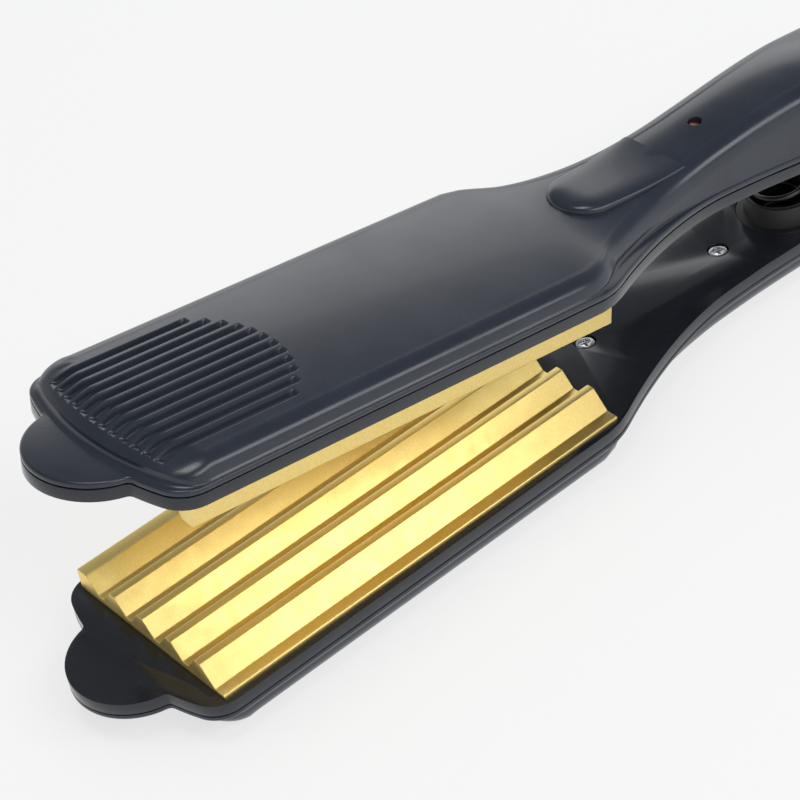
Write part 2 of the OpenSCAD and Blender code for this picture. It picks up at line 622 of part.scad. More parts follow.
// ---- hinge ----
module at_pin() translate([-mid_x, 0, rise]) children();
groove_r = pin_d / 2 - 0.4;
clip_y = -ear_out - 0.1;
module hinge_pin() color(steel) at_pin() {
    cross_bar(0, 0, clip_y, ear_out + 0.1, pin_d / 2);
    cross_bar(0, 0, ear_out + 0.1, ear_out + 1.2, pin_d / 2 + 1.2);
    cross_bar(0, 0, clip_y - 0.9, clip_y, groove_r);
    cross_bar(0, 0, clip_y - 1.7, clip_y - 0.9, pin_d / 2);
}
module hinge_washers() color([0.85, 0.85, 0.85]) at_pin() both_sides() difference() {
    cross_bar(0, 0, knuckle_width / 2 + 0.1, knuckle_width / 2 + 0.1 + washer_thick,
        knuckle_r - 0.7);
    cross_bar(0, 0, 0, ear_out, hub_r);
}
module hinge_clip() color(steel) at_pin() difference() {
    cross_bar(0, 0, clip_y - 0.85, clip_y - 0.05, pin_d / 2 + 1.2);
    cross_bar(0, 0, clip_y - 2, clip_y + 1, groove_r + seat);
    translate([-groove_r * 0.8, clip_y - 2, 0]) cube([groove_r * 1.6, 3, 10]);
}

// ---- return spring ----
seat_rim = 0.8;
seat_floor = 0.8;
collar_wall = 1.2;
// Turned seat: flange, cup, and a collar or a guide post.
module spring_seat(collar, post) translate([spring_x, 0, half_gap]) rotate_extrude($fn = 72)
    polygon(concat(
        [[0, seat_depth], [collar_d / 2, seat_depth], [collar_d / 2, seat_rim],
            [seat_d / 2, seat_rim], [seat_d / 2, 0.2], [seat_d / 2 - 0.2, 0]],
        [[collar_d / 2, 0], [collar_d / 2, -collar], [collar_d / 2 - collar_wall, -collar]],
        [[collar_d / 2 - collar_wall, seat_depth - seat_floor]],
        post > 0 ? [[spring_d / 2 - 1.6, seat_depth - seat_floor], [spring_d / 2 - 1.6, 0.6 - post],
            [spring_d / 2 - 2.2, -post], [0, -post]] : [[0, seat_depth - seat_floor]]));
module lower_spring_seat() color(black) lower() spring_seat(collar_height, 0);
module upper_spring_seat() color(black) upper() spring_seat(0.4, 2);
spring_low = seat_floor - half_gap - seat_depth + spring_wire / 2 + 0.05;
// The coil's planes fan out about the hinge pin from one seat to the other.
function coil_ring(t) = let (
    turn = 360 * spring_turns * t,
    s = min(max((t * spring_turns - 0.75) / (spring_turns - 1.5), 0), 1),
    tilt = open_angle * s,
    mid = spring_low * (1 - 2 * s))
    [for (a = [0:45:315]) let (
        r = spring_d / 2 + spring_wire / 2 * cos(a),
        x = spring_x + r * cos(turn), z = mid + spring_wire / 2 * sin(a))
        [x * cos(tilt) - z * sin(tilt), r * sin(turn), x * sin(tilt) + z * cos(tilt)]];
coil_steps = ceil(spring_turns * 16);
module return_spring() color([0.35, 0.35, 0.36]) at_pin()
    ring_solid([for (i = [0:coil_steps]) coil_ring(i / coil_steps)]);

// ---- switch ----
switch_seat = grip_height - 0.8;
switch_depth = 11.4;
switch_half = switch_length / 2 - 2;
switch_side = switch_width / 2 - 2;
rocker_half = switch_half - 2.3;
rocker_side = switch_side - 1.4;
pivot_z = switch_seat - 0.6;
pivot_r = 1;
module switch_body() color([0.08, 0.08, 0.09]) upper() difference() {
    union() {
        block(switch_x - switch_length / 2, switch_x + switch_length / 2,
            -switch_width / 2, switch_width / 2, switch_seat, switch_seat + 1.2);
        block(switch_x - switch_half, switch_x + switch_half, -switch_side, switch_side,
            switch_seat - switch_depth, switch_seat + 1);
    }
    block(switch_x - rocker_half - 0.8, switch_x + rocker_half + 0.8,
        -rocker_side - 0.2, rocker_side + 0.2, switch_seat - 5.4, switch_seat + 3);
    cross_bar(switch_x, half_gap + pivot_z, -rocker_side - 0.9, rocker_side + 0.9,
        pivot_r + pin_clear);
}
module switch_rocker() color([0.12, 0.12, 0.13]) upper()
    translate([switch_x, 0, half_gap + pivot_z]) rotate([0, -rocker_travel / 2, 0]) {
        translate([0, rocker_side, 0]) rotate([90, 0, 0]) linear_extrude(2 * rocker_side)
            polygon(concat([[-rocker_half, 3.2]],
                [for (x = [-rocker_half + 2:(rocker_half - 2) / 3:rocker_half - 2])
                    [x, 2.2 + 0.9 * pow(x / rocker_half, 2)]],
                [[rocker_half, 3.2], [rocker_half, 0.8], [3, -1.8], [-3, -1.8],
                    [-rocker_half, 0.8]]));
        cross_bar(0, 0, -rocker_side - 0.8, rocker_side + 0.8, pivot_r);
    }
module switch_contacts() color([0.85, 0.7, 0.4]) upper() for (x = [-6, 6])
    block(switch_x + x - 0.4, switch_x + x + 0.4, -2.4, 2.4,
        switch_seat - switch_depth - 4.2, switch_seat - switch_depth);

// ---- indicator ----
board_z = 6.4;
board_thick = 1.6;
board_run = (front_screw - lamp_at) / 3;
lens_top = body_height(lamp_at, true) - 0.6;
lens_z = lens_top - 3.1;
module turned_at(x) translate([x, 0, half_gap]) rotate_extrude($fn = 48) children();
module indicator_lens() color([0.6, 0.12, 0.1]) upper() turned_at(lamp_at) polygon([
    [0, lens_z], [lamp_d / 2 + 0.8, lens_z], [lamp_d / 2 + 0.8, lens_z + 0.9],
    [lamp_d / 2, lens_z + 0.9], [lamp_d / 2, lens_top - 0.4], [lamp_d / 2 - 0.5, lens_top],
    [0, lens_top]]);
module indicator_lamp() color([0.8, 0.3, 0.28]) upper() turned_at(lamp_at) polygon(concat(
    [[0, board_z + board_thick], [1.9, board_z + board_thick], [1.9, board_z + board_thick + 0.8],
        [1.5, board_z + board_thick + 0.8], [1.5, lens_z - 1.8]],
    [for (a = [15:15:90]) [1.5 * cos(a), lens_z - 1.8 + 1.5 * sin(a)]]));
module lamp_board() color([0.1, 0.4, 0.2]) upper()
    block(lamp_at - 3.2, lamp_at + board_run, -4.6, 4.6, board_z, board_z + board_thick);

// ---- cord bush and clamp ----
bush_neck = 3.95;
module along_bush(x0, x1) translate([x0, 0, half_gap + bush_z]) rotate([90, 0, 90])
    linear_extrude(x1 - x0) children();
module cord_bush() color([0.1, 0.1, 0.11]) upper() translate([0, 0, half_gap + bush_z])
    rotate([0, -90, 0]) rotate_extrude($fn = 72) polygon([
        [cord_d / 2 + 0.2, tail_length - wall - 1.6], [bush_neck + 1.5, tail_length - wall - 1.6],
        [bush_neck + 1.5, tail_length - wall - seat], [bush_neck, tail_length - wall - seat],
        [bush_neck, tail_length + seat], [5.4, tail_length + seat],
        [5.4, tail_length + 1.4], [4.7, tail_length + bush_out], [cord_d / 2, tail_length + bush_out],
        [cord_d / 2, tail_length + 0.1], [cord_d / 2 + 0.2, tail_length + 0.1]]);
clamp_x0 = 6 - tail_length;
clamp_x1 = clamp_x0 + 5;
clamp_y = 7.2;
module cord_channel() along_bush(clamp_x0 - 1, clamp_x1 + 1) circle(d = cord_d + 0.5);
module clamp_saddle() difference() {
    block(clamp_x0, clamp_x1, -9.5, 9.5, cover_thick - 0.2, bush_z - 0.2);
    cord_channel();
    for (s = [-1, 1]) rod((clamp_x0 + clamp_x1) / 2, s * clamp_y, bush_z - 4.4, bush_z, 2 + 2 * seat);
}
module cord_clamp() color([0.12, 0.12, 0.13]) upper() difference() {
    union() {
        block(clamp_x0, clamp_x1, -9.5, 9.5, bush_z + 0.1, bush_z + 2.1);
        intersection() {
            along_bush(clamp_x0, clamp_x1) circle(d = cord_d + 3.4);
            block(clamp_x0, clamp_x1, -9.5, 9.5, bush_z + 0.1, bush_z + 8);
        }
    }
    cord_channel();
    for (s = [-1, 1]) rod((clamp_x0 + clamp_x1) / 2, s * clamp_y, bush_z - 1, bush_z + 4, 2.4);
}
module clamp_screws() color(steel) upper() for (s = [-1, 1])
    translate([(clamp_x0 + clamp_x1) / 2, s * clamp_y, half_gap + bush_z + 3.5]) rotate([180, 0, 0])
        cross_screw(0, 4, 5.8, 2);

lower_shell();
lower_cover();
lower_plate();
lower_heater();
lower_insulator();
lower_heater_clip();
lower_fuse();
lower_screws();
lower_leads();
lower_spring_seat();
upper_shell();
upper_cover();
upper_plate();
upper_heater();
upper_insulator();
upper_heater_clip();
upper_fuse();
upper_screws();
upper_leads();
upper_spring_seat();
hinge_pin();
hinge_washers();
hinge_clip();
return_spring();
switch_body();
switch_rocker();
switch_contacts();
indicator_lens();
indicator_lamp();
lamp_board();
cord_bush();
cord_clamp();
clamp_screws();
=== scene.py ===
"""Deep-wave hair iron: housings, wave plates, hinge, spring and switch, lying open on a pale table."""

import json
from math import sin, cos, sqrt, radians, degrees, atan2, ceil

import bmesh
import bpy
from mathutils import Matrix, Vector
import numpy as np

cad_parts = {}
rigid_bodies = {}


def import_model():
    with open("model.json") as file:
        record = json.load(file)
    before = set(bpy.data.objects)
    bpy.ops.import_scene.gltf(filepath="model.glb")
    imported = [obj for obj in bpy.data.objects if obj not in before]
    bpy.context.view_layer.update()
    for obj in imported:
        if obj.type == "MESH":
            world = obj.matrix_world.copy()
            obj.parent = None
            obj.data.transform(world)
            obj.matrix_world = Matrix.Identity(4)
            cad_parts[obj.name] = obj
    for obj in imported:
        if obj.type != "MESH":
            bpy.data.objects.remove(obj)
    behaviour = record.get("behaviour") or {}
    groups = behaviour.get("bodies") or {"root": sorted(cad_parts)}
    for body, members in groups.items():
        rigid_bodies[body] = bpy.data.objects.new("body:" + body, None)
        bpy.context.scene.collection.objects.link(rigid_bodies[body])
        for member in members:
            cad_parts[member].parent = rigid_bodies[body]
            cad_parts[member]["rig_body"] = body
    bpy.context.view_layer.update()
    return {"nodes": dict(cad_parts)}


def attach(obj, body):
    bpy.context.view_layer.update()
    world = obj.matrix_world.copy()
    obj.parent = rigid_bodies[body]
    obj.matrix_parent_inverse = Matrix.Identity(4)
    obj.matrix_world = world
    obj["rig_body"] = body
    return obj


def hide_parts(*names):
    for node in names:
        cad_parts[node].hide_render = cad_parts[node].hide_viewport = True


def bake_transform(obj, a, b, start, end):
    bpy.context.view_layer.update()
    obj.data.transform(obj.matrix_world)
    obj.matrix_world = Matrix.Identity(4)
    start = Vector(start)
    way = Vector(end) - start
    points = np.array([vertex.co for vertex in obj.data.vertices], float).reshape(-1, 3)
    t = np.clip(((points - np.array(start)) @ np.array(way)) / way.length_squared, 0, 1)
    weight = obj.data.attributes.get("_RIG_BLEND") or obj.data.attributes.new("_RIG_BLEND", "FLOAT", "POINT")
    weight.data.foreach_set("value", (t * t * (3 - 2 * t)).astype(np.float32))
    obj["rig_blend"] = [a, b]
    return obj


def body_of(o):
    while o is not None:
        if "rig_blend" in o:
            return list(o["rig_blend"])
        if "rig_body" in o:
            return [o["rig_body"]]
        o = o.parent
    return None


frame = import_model()

MM = 0.001

# ---- sizes in millimetres, as the housings are drawn ----
PLATE_REACH, HEAD_WIDTH = 235.0, 51.2
FRONT_RADIUS, FRONT_REACH, CORNER_RADIUS = 62.6, 8.1, 7.0
TAB_RADIUS, TAB_REACH, NOTCH = 14.05, 4.05, 1.4
NECK_X, NECK_WIDTH, SHOULDER_X = 85.0, 24.2, 131.0
GRIP_WIDTH, TAIL_LENGTH, TAIL_RADIUS = 29.0, 20.0, 6.5
RIM_Z, RIM_TOP, WALL, LEDGE, SHOULDER_LEDGE = 3.0, 4.2, 1.8, 0.5, 2.4
HEAD_HEIGHT, GRIP_HEIGHT, TAIL_HEIGHT, LOWER_HEIGHT = 9.0, 20.2, 16.0, 10.0
CROWN, OPEN_ANGLE, HALF_GAP = 0.9, radians(9.8), 3.6
GROOVE_PITCH, GROOVE_WIDTH, GROOVE_DEPTH = 3.1, 1.8, 0.8
GROOVE_LENGTH, GROOVE_ARC = 37.4, 23.3
STOP_X, STOP_WIDTH, STOP_HEIGHT, STOP_FALL, STOP_LENGTH = 123.0, 16.0, 11.0, 7.5, 20.5
SPRING_X, SPRING_D, SPRING_WIRE, SPRING_TURNS, SEAT_DEPTH = 55.0, 11.4, 1.3, 5, 4.0
SWITCH_X, SWITCH_LENGTH, SWITCH_WIDTH, LAMP_X, LAMP_D, LAMP_SINK = 25.0, 26.0, 14.0, 83.0, 3.0, 1.6
BUSH_Z, BUSH_OUT = 8.2, 3.2

RIM_HALF = HEAD_WIDTH / 2
RISE = HALF_GAP + LOWER_HEIGHT
REAR_X = -(TAIL_LENGTH + BUSH_OUT) * cos(OPEN_ANGLE) - (HALF_GAP + BUSH_Z + 5.4) * sin(OPEN_ANGLE)
MID_X = (PLATE_REACH + TAB_REACH + TAB_RADIUS + REAR_X) / 2

FRONT_C = PLATE_REACH + FRONT_REACH - FRONT_RADIUS
CORNER_Y = RIM_HALF - CORNER_RADIUS
FOOT_FRONT, FOOT_R = FRONT_RADIUS - 2.2, CORNER_RADIUS - LEDGE
FOOT_CX = FRONT_C + sqrt((FOOT_FRONT - FOOT_R) ** 2 - CORNER_Y ** 2)
FOOT_TURN = atan2(CORNER_Y, FOOT_CX - FRONT_C)
FILLET_R, FRONT_RISE, FRONT_ROUND, SIDE_LEAN, TAIL_ROUND = 1.6, 0.3, 7.2, 0.3, 1.5
RIM_BREAK, RIM_ROUND = 0.2, 0.55  # softened lower and upper edge of the rim
TAIL_TURN = TAIL_RADIUS - TAIL_LENGTH  # where the tail's corners start
STRIP = 6 * GROOVE_PITCH          # half width of the grooved strip on the head
CORNER_X = 228.0                  # where the corner patches meet the side walls
FRONT_SLOPE = 0.6                 # share of a flat slope in the front face


def ease(t):
    t = min(max(t, 0.0), 1.0)
    return t * t * (3 - 2 * t)


def soft_min(a, b, k):
    return min(a, b) - max(k - abs(a - b), 0) ** 2 / (4 * k)


def rim_at(x):
    """Half width of the rim, from the head's side to the tail."""
    spread = RIM_HALF - NECK_WIDTH / 2 + 0.1
    shoulder = NECK_WIDTH / 2 + spread * (max(x - NECK_X, 0) / (SHOULDER_X - NECK_X)) ** 1.7
    grip = (GRIP_WIDTH - NECK_WIDTH) / 2 * ease((NECK_X - 5 - x) / 55)
    u = TAIL_TURN - x
    cut = 0 if u <= 0 else TAIL_RADIUS - sqrt(max(TAIL_RADIUS ** 2 - u * u, 0))
    return soft_min(RIM_HALF, shoulder + grip, 2) - cut


def wall_at(x):
    """Half width of the housing's wall, inside the rim."""
    extra = SHOULDER_LEDGE * ease((SHOULDER_X + 4 - x) / 12) * ease((x - NECK_X + 1) / 40)
    return rim_at(x) - LEDGE - extra


def body_height(x, up):
    if not up:
        return LOWER_HEIGHT
    return (HEAD_HEIGHT + (GRIP_HEIGHT - HEAD_HEIGHT) * ease((SHOULDER_X - 4 - x) / 82)
            - (GRIP_HEIGHT - TAIL_HEIGHT) * ease((10 - x) / (TAIL_LENGTH + 10)))


def edge_round(x, up):
    """Width and height of the rounded top edge of the side wall."""
    if not up:
        return 5.0, 5.0
    k = ease((SHOULDER_X - x) / 35)
    return 4.2 + 0.5 * k, 3.4 + 1.3 * k


def top_at(x, y, up, inset):
    """Height of the crowned top, a little lower towards its edges and rounded off at the tail."""
    u = max(TAIL_ROUND - x - TAIL_LENGTH, 0)
    end = 0 if inset else TAIL_ROUND - sqrt(max(TAIL_ROUND ** 2 - u * u, 0))
    inner = wall_at(x) - SIDE_LEAN - edge_round(x, up)[0]
    flat = ease((x - 140) / 20)
    reach = (RIM_HALF - 5) * flat + inner * (1 - flat)
    share = min(1.0, wall_at(x) / RIM_HALF + 0.3)
    return body_height(x, up) - end - inset - (CROWN if up else 0.02) * share * min(1.0, (y / reach) ** 2)


def strip_half(x, up):
    """Half width of the lengthwise strip that carries the grooves and the switch."""
    inner = wall_at(x) - SIDE_LEAN - edge_round(x, up)[0]
    k = 0.975 - 0.125 * ease((x - 40) / 20)
    tail = k * inner if x > 45 else min(SWITCH_WIDTH / 2 + 0.15, k * inner)
    return STRIP if x >= 150 else STRIP + (tail - STRIP) * ease((150 - x) / 25)


def groove_share(y):
    """1 in a groove, 0 on the land between two, and the middle of the groove."""
    centre = (int(abs(y) / GROOVE_PITCH) + 0.5) * GROOVE_PITCH
    off = abs(abs(y) - centre)
    return (ease((GROOVE_WIDTH / 2 + 0.22 - off) / 0.34) if centre < STRIP else 0), centre


FILLET, UPRIGHT, TURN, FLAT = 5, 2, 24, 3
EDGE = 1 + FILLET + UPRIGHT + TURN


def edge_step(j, f, x, up, level, inset, cut=0.0, last=90.0):
    """Distance in from the wall's foot and height, at step j from the foot over the rounded edge."""
    fillet = 0.02 if inset else FILLET_R * f + 0.2 * (1 - f)
    lean = SIDE_LEAN * (1 - f)
    side_y, side_z = edge_round(x, up)
    ry = FRONT_ROUND * f + side_y * (1 - f)
    rz = min(side_z - inset / 2, level - RIM_TOP - (0.5 if inset else fillet + FRONT_RISE))
    if j == 0:
        return -fillet - 0.02, RIM_TOP - 0.4
    if j <= 1 + FILLET:
        b = radians(90) * (j - 1) / FILLET
        return -fillet + fillet * sin(b), RIM_TOP + fillet * (1 - cos(b))
    if j <= FILLET + 1 + UPRIGHT:
        t = (j - 1 - FILLET) / UPRIGHT
        return lean * t, RIM_TOP + fillet + (level - rz - RIM_TOP - fillet) * t
    t = (j - 1 - FILLET - UPRIGHT) / TURN
    a = radians(90) * t
    cut = cut * ease((degrees(a) - last) / 9)
    flat = 0 if inset else FRONT_SLOPE * f
    d = ry * ((1 - cos(a)) * (1 - flat) + t * flat)
    down = rz * ((1 - sin(a)) * (1 - flat) + (1 - t) * flat)
    return lean + d + cut * cos(a), level - down - cut * sin(a)


def station(j, foot, inner, f, up, inset):
    """Point j on the line from a foot point over the edge and along the top to the inner point."""
    foot, inner = Vector(foot), Vector(inner)
    way = (inner - foot).normalized()
    width = edge_step(EDGE, f, foot.x, up, 9, inset)[0]
    brink = foot + way * width
    level = top_at(min(brink.x, PLATE_REACH), brink.y, up, inset)
    if j <= EDGE:
        d, high = edge_step(j, f, foot.x, up, level, inset)
        p = foot + way * d
        return p.x, p.y, high
    p = brink.lerp(inner, (j - EDGE) / FLAT)
    return p.x, p.y, top_at(p.x, p.y, up, inset)


def surface(bm, across, along, point, side=1):
    """A grid of faces, each vertex taken to point(i, j); side -1 mirrors it over the middle of the arm."""
    for v in bmesh.ops.create_grid(bm, x_segments=across, y_segments=along, size=1)["verts"]:
        x, y, o = point(round((v.co.x + 1) / 2 * across), round((v.co.y + 1) / 2 * along))
        v.co = (x, side * y, o)


def steps(a, b, step):
    n = ceil(abs(a - b) / step)
    return [a + (b - a) * i / n for i in range(n)]


def skin(bm, up, inset, columns, rows):
    """Outer or inner skin of a housing, from the wall's foot over the top, open below and at the tail."""
    front, front_join = FOOT_FRONT - inset, 1 + FILLET + UPRIGHT + TURN + FLAT
    foot_r = FOOT_R - inset

    def strip(i, j):
        s = 2 * i / columns - 1
        if j <= front_join:
            y = s * STRIP
            f = 1 - 0.1 * abs(s)
            share, centre = groove_share(y) if up and not inset else (0, 0)
            foot_x = FRONT_C + sqrt(front ** 2 - y * y)
            face = foot_x - edge_step(EDGE, f, foot_x, up, 9, inset)[0]
            level = top_at(face, y, up, inset)
            if j <= EDGE:
                d, high = edge_step(j, f, foot_x, up, level, inset, GROOVE_DEPTH * share,
                                    34 - 8 * (centre / 17) ** 2)
                return foot_x - d, y, high
            x = face + (CORNER_X - face) * (j - EDGE) / FLAT
            return x, y, top_at(x, y, up, inset) - GROOVE_DEPTH * share
        x = rows[j - front_join]
        y = s * strip_half(x, up)
        cut = 0
        if up and not inset and x > 190:
            share, centre = groove_share(y)
            back = PLATE_REACH - GROOVE_LENGTH + GROOVE_ARC - sqrt(GROOVE_ARC ** 2 - min(centre, 20) ** 2)
            cut = GROOVE_DEPTH * share * ease((x - back) / 1.2)
        return x, y, top_at(x, y, up, inset) - cut

    surface(bm, columns, front_join + len(rows) - 1, strip)

    join = atan2(STRIP, sqrt(front ** 2 - STRIP ** 2))
    corner = [(FRONT_C + front * cos(a), front * sin(a), 0.9)
              for a in [join * (1 - i / 2) + FOOT_TURN * i / 2 for i in range(2)]]
    corner += [(FOOT_CX + foot_r * cos(a), CORNER_Y + foot_r * sin(a), 0.9 * (1 - i / 14)) for i, a in
               [(i, FOOT_TURN + (radians(90) - FOOT_TURN) * i / 14) for i in range(15)]]
    corner += [(FOOT_CX + (CORNER_X - FOOT_CX) * i / 2, wall_at(CORNER_X) - inset, 0) for i in (1, 2)]
    inner = (CORNER_X, STRIP)
    for side in (1, -1):
        surface(bm, len(corner) - 1, front_join,
                lambda i, j: station(j, corner[i][:2], inner, corner[i][2], up, inset), side)
        surface(bm, len(rows) - 1, front_join,
                lambda i, j: station(j, (rows[i], wall_at(rows[i]) - inset),
                                     (rows[i], strip_half(rows[i], up)), 0, up, inset), side)


def loop_edges(bm, points):
    """Closed loop of edges through plan points with a height."""
    verts = [bm.verts.new(p) for p in points]
    return [bm.edges.new((a, b)) for a, b in zip(verts, verts[1:] + verts[:1])]


def arc(cx, cy, r, a, b, n):
    return [(cx + r * cos(a + (b - a) * i / n), cy + r * sin(a + (b - a) * i / n)) for i in range(n + 1)]


def rim_outline(inset):
    """Plan of the rim: thumb tab, hollow notches, front arc, corners, sides, shoulder, grip and tail."""
    tab_c = PLATE_REACH + TAB_REACH
    a, b, d = TAB_RADIUS + NOTCH, FRONT_RADIUS + NOTCH, PLATE_REACH + TAB_REACH - FRONT_C
    nx = FRONT_C + (b * b - a * a + d * d) / (2 * d)
    ny = sqrt(b * b - (nx - FRONT_C) ** 2)
    cx = FRONT_C + sqrt((FRONT_RADIUS - CORNER_RADIUS) ** 2 - CORNER_Y ** 2)
    turn = atan2(CORNER_Y, cx - FRONT_C)
    tab_turn, front_turn = atan2(ny, nx - tab_c), atan2(ny, nx - FRONT_C)
    half = arc(tab_c, 0, TAB_RADIUS - inset, 0, tab_turn, 24)[:-1]
    half += arc(nx, ny, NOTCH + inset, radians(180) + tab_turn, radians(180) + front_turn, 8)
    half += arc(FRONT_C, 0, FRONT_RADIUS - inset, front_turn + 0.02, turn, 8)
    half += arc(cx, CORNER_Y, CORNER_RADIUS - inset, turn, radians(90), 14)[1:]
    track = steps(cx - 8, SHOULDER_X + 8, 12) + steps(SHOULDER_X + 8, NECK_X, 1.5)
    track += steps(NECK_X, TAIL_TURN, 3.5)
    half += [(x, rim_at(x) - inset) for x in track]
    for a in [radians(d) for d in range(0, 91, 6)]:
        x = TAIL_TURN - TAIL_RADIUS * sin(a)
        half.append((x + inset * sin(a), rim_at(x) - inset * cos(a)))
    return half + [(x, -y) for x, y in half[:0:-1]]


def foot_outline(inset):
    """Plan of a housing's wall at its foot, inset towards the cavity."""
    front, r = FOOT_FRONT - inset, FOOT_R - inset
    half = arc(FRONT_C, 0, front, 0, FOOT_TURN, 12)[:-1]
    half += arc(FOOT_CX, CORNER_Y, r, FOOT_TURN, radians(90), 10)
    track = steps(CORNER_X, SHOULDER_X + 8, 12) + steps(SHOULDER_X + 8, NECK_X, 2.5)
    track += steps(NECK_X, -12, 5) + [-14, -16, -17.5, inset - TAIL_LENGTH]
    half += [(x, wall_at(x) - inset) for x in track]
    return half + [(x, -y) for x, y in half[:0:-1]]


def close_tail_and_foot(bm, tail):
    """Closes the flat end at the tail, and returns the open edges along the foot."""
    edges = [e for e in bm.edges if e.is_boundary]
    end = [e for e in edges if all(abs(v.co.x - tail) < 1e-3 for v in e.verts)]
    foot = [e for e in edges if e not in end]
    ends = [v for v in {v for e in end for v in e.verts} if sum(e in end for e in v.link_edges) == 1]
    sill = bm.edges.new(ends)
    bmesh.ops.contextual_create(bm, geom=end + [sill])
    return foot + [sill]


def housing(up):
    """One arm's housing: skin, cavity and rim, and on the upper arm grooves, thumb stop and recesses."""
    bm = bmesh.new()
    tail = sorted({TAIL_TURN - TAIL_RADIUS * sin(radians(a)) for a in range(0, 91, 6)}
                  | {-18.5 - 1.5 * sin(radians(a)) for a in range(0, 90, 15)}, reverse=True)
    well = (SWITCH_X + SWITCH_LENGTH / 2 + 0.15, SWITCH_X - SWITCH_LENGTH / 2 - 0.15)
    rows = [CORNER_X] + steps(CORNER_X - 2, 207, 2) + steps(207, 196, 0.28) + steps(196, SHOULDER_X, 4)
    rows += steps(SHOULDER_X, 86, 1.5) + steps(86, 80, 0.2) + steps(80, well[0], 3)
    rows += steps(well[0], well[1], 3)
    rows += steps(well[1], TAIL_TURN, 3) + tail
    skin(bm, up, 0, 240 if up else 24, rows)
    bmesh.ops.remove_doubles(bm, verts=bm.verts, dist=0.004)
    outer = close_tail_and_foot(bm, -TAIL_LENGTH)
    known = set(bm.edges)
    coarse = [CORNER_X] + steps(CORNER_X - 9, SHOULDER_X, 9) + steps(SHOULDER_X, 86, 4) + steps(86, -12, 6)
    coarse += [-12, -14, -16, -17.4, WALL - TAIL_LENGTH]
    inside = bmesh.new()
    skin(inside, up, WALL, 24, coarse)
    bmesh.ops.remove_doubles(inside, verts=inside.verts, dist=0.004)
    close_tail_and_foot(inside, WALL - TAIL_LENGTH)
    cavity = bpy.data.meshes.new("cavity")
    inside.to_mesh(cavity)
    inside.free()
    bm.from_mesh(cavity)
    bpy.data.meshes.remove(cavity)
    bm.edges.ensure_lookup_table()
    inner = [e for e in bm.edges if e not in known and e.is_boundary]
    bmesh.ops.bridge_loops(bm, edges=outer + inner)
    if up:
        open_recess(bm, lambda p: abs(p.x - SWITCH_X) < SWITCH_LENGTH / 2 + 0.2
                    and abs(p.y) < SWITCH_WIDTH / 2 + 0.2 and p.z > 17, GRIP_HEIGHT - 7.5)
        lamp_hole(bm)
        thumb_stop(bm)
    rim(bm)
    bmesh.ops.recalc_face_normals(bm, faces=bm.faces)
    return bm


def open_recess(bm, inside, floor):
    """Cuts a well with a flat floor into the skin, over the faces that lie inside."""
    faces = [f for f in bm.faces if all(inside(v.co) for v in f.verts)]
    rim_edges = [e for e in {e for f in faces for e in f.edges}
                 if sum(f in faces for f in e.link_faces) == 1]
    bmesh.ops.delete(bm, geom=faces, context="FACES")
    draw_down(bm, rim_edges, lambda high: floor)


def draw_down(bm, ring, depth):
    """Draws the edge of a hole straight down to depth(height) and closes its floor."""
    wall = bmesh.ops.extrude_edge_only(bm, edges=ring)["geom"]
    for v in [g for g in wall if isinstance(g, bmesh.types.BMVert)]:
        v.co.z = depth(v.co.z)
    edges = [g for g in wall if isinstance(g, bmesh.types.BMEdge) and g.is_boundary]
    bmesh.ops.edgeloop_fill(bm, edges=edges)


def lamp_hole(bm):
    """Round hole over the indicator, its edge drawn to a true circle."""
    r = LAMP_D / 2 + 0.05
    high = body_height(LAMP_X, True) - 2
    out = lambda v: sqrt((v.co.x - LAMP_X) ** 2 + v.co.y ** 2)
    faces = [f for f in bm.faces if all(out(v) < r and v.co.z > high for v in f.verts)]
    verts = {v for f in faces for v in f.verts}
    ring = [e for e in {e for f in faces for e in f.edges} if sum(f in faces for f in e.link_faces) == 1]
    for v in {v for e in ring for v in e.verts}:
        k = r / out(v)
        v.co.x, v.co.y = LAMP_X + (v.co.x - LAMP_X) * k, v.co.y * k
    bmesh.ops.delete(bm, geom=faces, context="FACES")
    draw_down(bm, ring, lambda high: high - LAMP_SINK)


def thumb_stop(bm):
    """Rounded nose on the shoulder, its top running up into the grip."""
    middle, length, across = STOP_X - STOP_FALL, STOP_LENGTH, 32
    track = [middle + STOP_FALL * cos(radians(90) * i / 14) for i in range(14)]
    track += steps(middle, middle - length, 1) + [middle - length]

    def point(i, j):
        x = track[j]
        front = max((x - middle) / STOP_FALL, 0)
        half = STOP_WIDTH / 2 * sqrt(1 - front ** 2) + max(middle - x, 0) / length
        body = body_height(x, True)
        top = -soft_min(-(STOP_HEIGHT + (STOP_X - x) * 0.02), 0.12 - body, 1.6)
        a = radians(180) * i / across - radians(90)
        side = sqrt(abs(sin(a))) * (1 if a > 0 else -1)
        swell = (1 - front ** 3) ** (1 / 3) * sqrt(max(cos(a), 0))
        return x, half * side, body - 0.9 + (top - body + 0.9) * swell

    nose = bmesh.new()
    surface(nose, across, len(track) - 1, point)
    bmesh.ops.remove_doubles(nose, verts=nose.verts, dist=0.002)
    bmesh.ops.holes_fill(nose, edges=[e for e in nose.edges if e.is_boundary], sides=0)
    shape = bpy.data.meshes.new("nose")
    nose.to_mesh(shape)
    nose.free()
    bm.from_mesh(shape)
    bpy.data.meshes.remove(shape)


